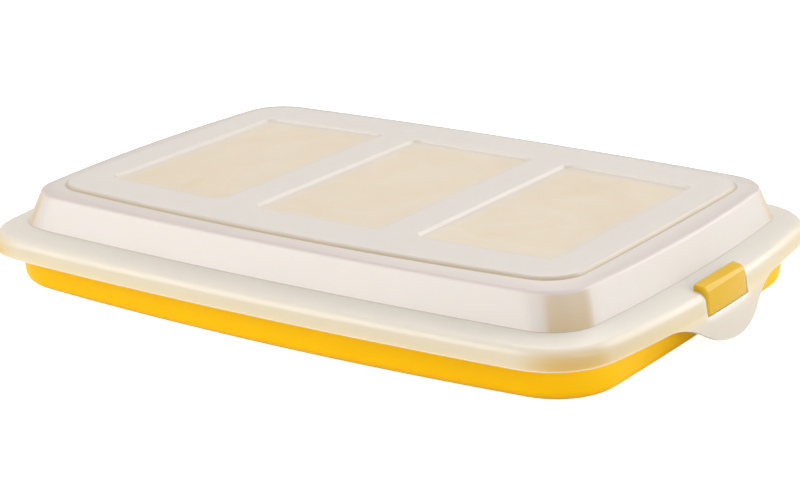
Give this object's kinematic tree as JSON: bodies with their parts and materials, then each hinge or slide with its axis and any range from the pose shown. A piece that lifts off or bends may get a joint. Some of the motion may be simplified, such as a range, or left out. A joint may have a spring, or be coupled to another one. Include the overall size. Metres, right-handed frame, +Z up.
{
  "type": "cold cuts container",
  "caption": "Long, low food keeper for sliced cold cuts: a shallow base with lift-out trays under a translucent lid with recessed windows, end catches and pull tongues.",
  "frame": {"origin": "middle of the underside of the base, on the surface that the container stands on", "axes": "+Z up, +X along the length towards one catch, +Y across the width"},
  "size_m": [0.382, 0.264, 0.051],
  "materials": {
    "base_plastic": "smooth, softly glossy",
    "lid_plastic": "milky translucent, satin",
    "tray_plastic": "satin"
  },
  "bodies": {
    "base": {"base": "base_plastic"},
    "lid": {"lid": "lid_plastic"},
    "left_tray": {"left_tray": "tray_plastic"},
    "middle_tray": {"middle_tray": "tray_plastic"},
    "right_tray": {"right_tray": "tray_plastic"}
  },
  "joints": [
    {"name": "lid_lift", "type": "slide", "parent": "base", "child": "lid", "axis": [0, 0, 1], "range_m": [0, 0.12]},
    {"name": "left_tray_lift", "type": "slide", "parent": "base", "child": "left_tray", "axis": [0, 0, 1], "range_m": [0, 0.016]},
    {"name": "middle_tray_lift", "type": "slide", "parent": "base", "child": "middle_tray", "axis": [0, 0, 1], "range_m": [0, 0.016]},
    {"name": "right_tray_lift", "type": "slide", "parent": "base", "child": "right_tray", "axis": [0, 0, 1], "range_m": [0, 0.016]}
  ]
}
